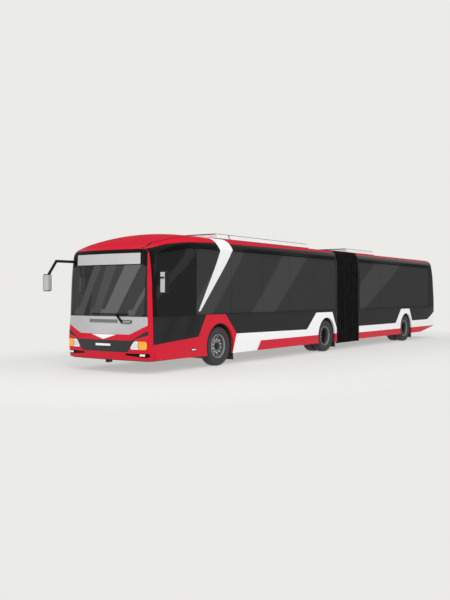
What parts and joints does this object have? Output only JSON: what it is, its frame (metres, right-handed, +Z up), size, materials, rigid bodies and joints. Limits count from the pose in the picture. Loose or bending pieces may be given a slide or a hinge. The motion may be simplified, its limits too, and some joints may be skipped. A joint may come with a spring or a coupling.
{
  "type": "articulated bus",
  "caption": "Low-floor articulated city bus: front and rear sections joined by a turntable and a folded bellows, with steered front wheels, twin rear wheels and swinging door leaves.",
  "frame": {"origin": "on the ground under the middle of the whole vehicle, mirrors included", "axes": "+X forward along the bus, +Y to its left (the driver's side), +Z up"},
  "size_m": [18.346, 3.09, 3.2999],
  "materials": {
    "red_paint": "gloss",
    "white_paint": "gloss",
    "silver_paint": "satin",
    "chassis_black": "matte",
    "floor_grey": "matte",
    "cast_axle": "matte",
    "engine_metal": "matte",
    "rim_steel": "satin",
    "tyre": "matte",
    "bellows_rubber": "matte",
    "tinted_glass": "gloss",
    "display_glass": "gloss",
    "lamp_clear": "gloss",
    "lamp_red": "gloss",
    "dark_plastic": "satin",
    "seat_fabric": "matte",
    "rail_yellow": "gloss"
  },
  "bodies": {
    "front_section": {"front_underframe": "chassis_black", "front_left_side": "red_paint", "front_right_side": "red_paint", "front_cap": "red_paint", "front_roof": "red_paint", "front_mask": "red_paint", "windscreen": "tinted_glass", "front_side_windows": "tinted_glass", "destination_display": "display_glass", "headlamps": "lamp_clear", "bumper_grille": "dark_plastic", "service_panel": "silver_paint", "mirrors": "dark_plastic", "wipers": "dark_plastic", "dashboard": "dark_plastic", "front_roof_units": "white_paint", "front_seats": "seat_fabric", "front_handrails": "rail_yellow", "front_axle": "cast_axle", "middle_axle": "cast_axle", "turntable_base": "chassis_black", "bellows": "bellows_rubber", "front_wheel_housings": "chassis_black", "cab_platform": "floor_grey"},
    "rear_section": {"rear_underframe": "chassis_black", "rear_left_side": "red_paint", "rear_right_side": "red_paint", "rear_roof": "red_paint", "tail_panel": "red_paint", "rear_side_windows": "tinted_glass", "tail_lamps": "lamp_red", "rear_roof_units": "white_paint", "rear_seats": "seat_fabric", "rear_handrails": "rail_yellow", "rear_axle": "cast_axle", "engine_block": "engine_metal", "turntable_ring": "floor_grey", "rear_wheel_housings": "chassis_black"},
    "knuckle_body_left": {"knuckle_left": "cast_axle"},
    "knuckle_body_right": {"knuckle_right": "cast_axle"},
    "wheel_front_left": {"front_left_tyre": "tyre", "front_left_rim": "rim_steel"},
    "wheel_front_right": {"front_right_tyre": "tyre", "front_right_rim": "rim_steel"},
    "wheels_middle_left": {"middle_left_tyres": "tyre", "middle_left_rims": "rim_steel"},
    "wheels_middle_right": {"middle_right_tyres": "tyre", "middle_right_rims": "rim_steel"},
    "wheels_rear_left": {"rear_left_tyres": "tyre", "rear_left_rims": "rim_steel"},
    "wheels_rear_right": {"rear_right_tyres": "tyre", "rear_right_rims": "rim_steel"},
    "door_1_front_leaf_body": {"door_1_front_leaf": "red_paint"},
    "door_1_rear_leaf_body": {"door_1_rear_leaf": "red_paint"},
    "door_2_front_leaf_body": {"door_2_front_leaf": "red_paint"},
    "door_2_rear_leaf_body": {"door_2_rear_leaf": "red_paint"},
    "door_3_front_leaf_body": {"door_3_front_leaf": "red_paint"},
    "door_3_rear_leaf_body": {"door_3_rear_leaf": "red_paint"},
    "engine_lid_body": {"engine_lid": "red_paint"}
  },
  "joints": [
    {"name": "articulation", "type": "hinge", "parent": "front_section", "child": "rear_section", "pos_m": [-1.032, 0, 0.3], "axis": [0, 0, 1], "range_deg": [-45, 45], "deforming": ["bellows"]},
    {"name": "steer_left", "type": "hinge", "parent": "front_section", "child": "knuckle_body_left", "pos_m": [6.073, 0.98, 0.479], "axis": [0, 0, 1], "range_deg": [-40, 40]},
    {"name": "steer_right", "type": "hinge", "parent": "front_section", "child": "knuckle_body_right", "pos_m": [6.073, -0.98, 0.479], "axis": [0, 0, 1], "range_deg": [-40, 40]},
    {"name": "wheel_front_left_spin", "type": "hinge", "parent": "knuckle_body_left", "child": "wheel_front_left", "pos_m": [6.073, 1.105, 0.479], "axis": [0, 1, 0], "continuous": true},
    {"name": "wheel_front_right_spin", "type": "hinge", "parent": "knuckle_body_right", "child": "wheel_front_right", "pos_m": [6.073, -1.105, 0.479], "axis": [0, 1, 0], "continuous": true},
    {"name": "wheels_middle_left_spin", "type": "hinge", "parent": "front_section", "child": "wheels_middle_left", "pos_m": [0.443, 0.941, 0.479], "axis": [0, 1, 0], "continuous": true},
    {"name": "wheels_middle_right_spin", "type": "hinge", "parent": "front_section", "child": "wheels_middle_right", "pos_m": [0.443, -0.941, 0.479], "axis": [0, 1, 0], "continuous": true},
    {"name": "wheels_rear_left_spin", "type": "hinge", "parent": "rear_section", "child": "wheels_rear_left", "pos_m": [-6.007, 0.941, 0.479], "axis": [0, 1, 0], "continuous": true},
    {"name": "wheels_rear_right_spin", "type": "hinge", "parent": "rear_section", "child": "wheels_rear_right", "pos_m": [-6.007, -0.941, 0.479], "axis": [0, 1, 0], "continuous": true},
    {"name": "door_1_front_swing", "type": "hinge", "parent": "front_section", "child": "door_1_front_leaf_body", "pos_m": [8.219, -1.193, 1.3], "axis": [0, 0, -1], "range_deg": [0, 88]},
    {"name": "door_1_rear_swing", "type": "hinge", "parent": "front_section", "child": "door_1_rear_leaf_body", "pos_m": [7.037, -1.193, 1.3], "axis": [0, 0, 1], "range_deg": [0, 88]},
    {"name": "door_2_front_swing", "type": "hinge", "parent": "front_section", "child": "door_2_front_leaf_body", "pos_m": [3.709, -1.193, 1.3], "axis": [0, 0, -1], "range_deg": [0, 88]},
    {"name": "door_2_rear_swing", "type": "hinge", "parent": "front_section", "child": "door_2_rear_leaf_body", "pos_m": [2.527, -1.193, 1.3], "axis": [0, 0, 1], "range_deg": [0, 88]},
    {"name": "door_3_front_swing", "type": "hinge", "parent": "rear_section", "child": "door_3_front_leaf_body", "pos_m": [-3.291, -1.193, 1.3], "axis": [0, 0, -1], "range_deg": [0, 88]},
    {"name": "door_3_rear_swing", "type": "hinge", "parent": "rear_section", "child": "door_3_rear_leaf_body", "pos_m": [-4.473, -1.193, 1.3], "axis": [0, 0, 1], "range_deg": [0, 88]},
    {"name": "engine_lid_hinge", "type": "hinge", "parent": "rear_section", "child": "engine_lid_body", "pos_m": [-9.166, 0, 1.294], "axis": [0, 1, 0], "range_deg": [0, 80]}
  ],
  "couplings": [
    {"joint": "steer_right", "follows": "steer_left", "ratio": 1}
  ]
}
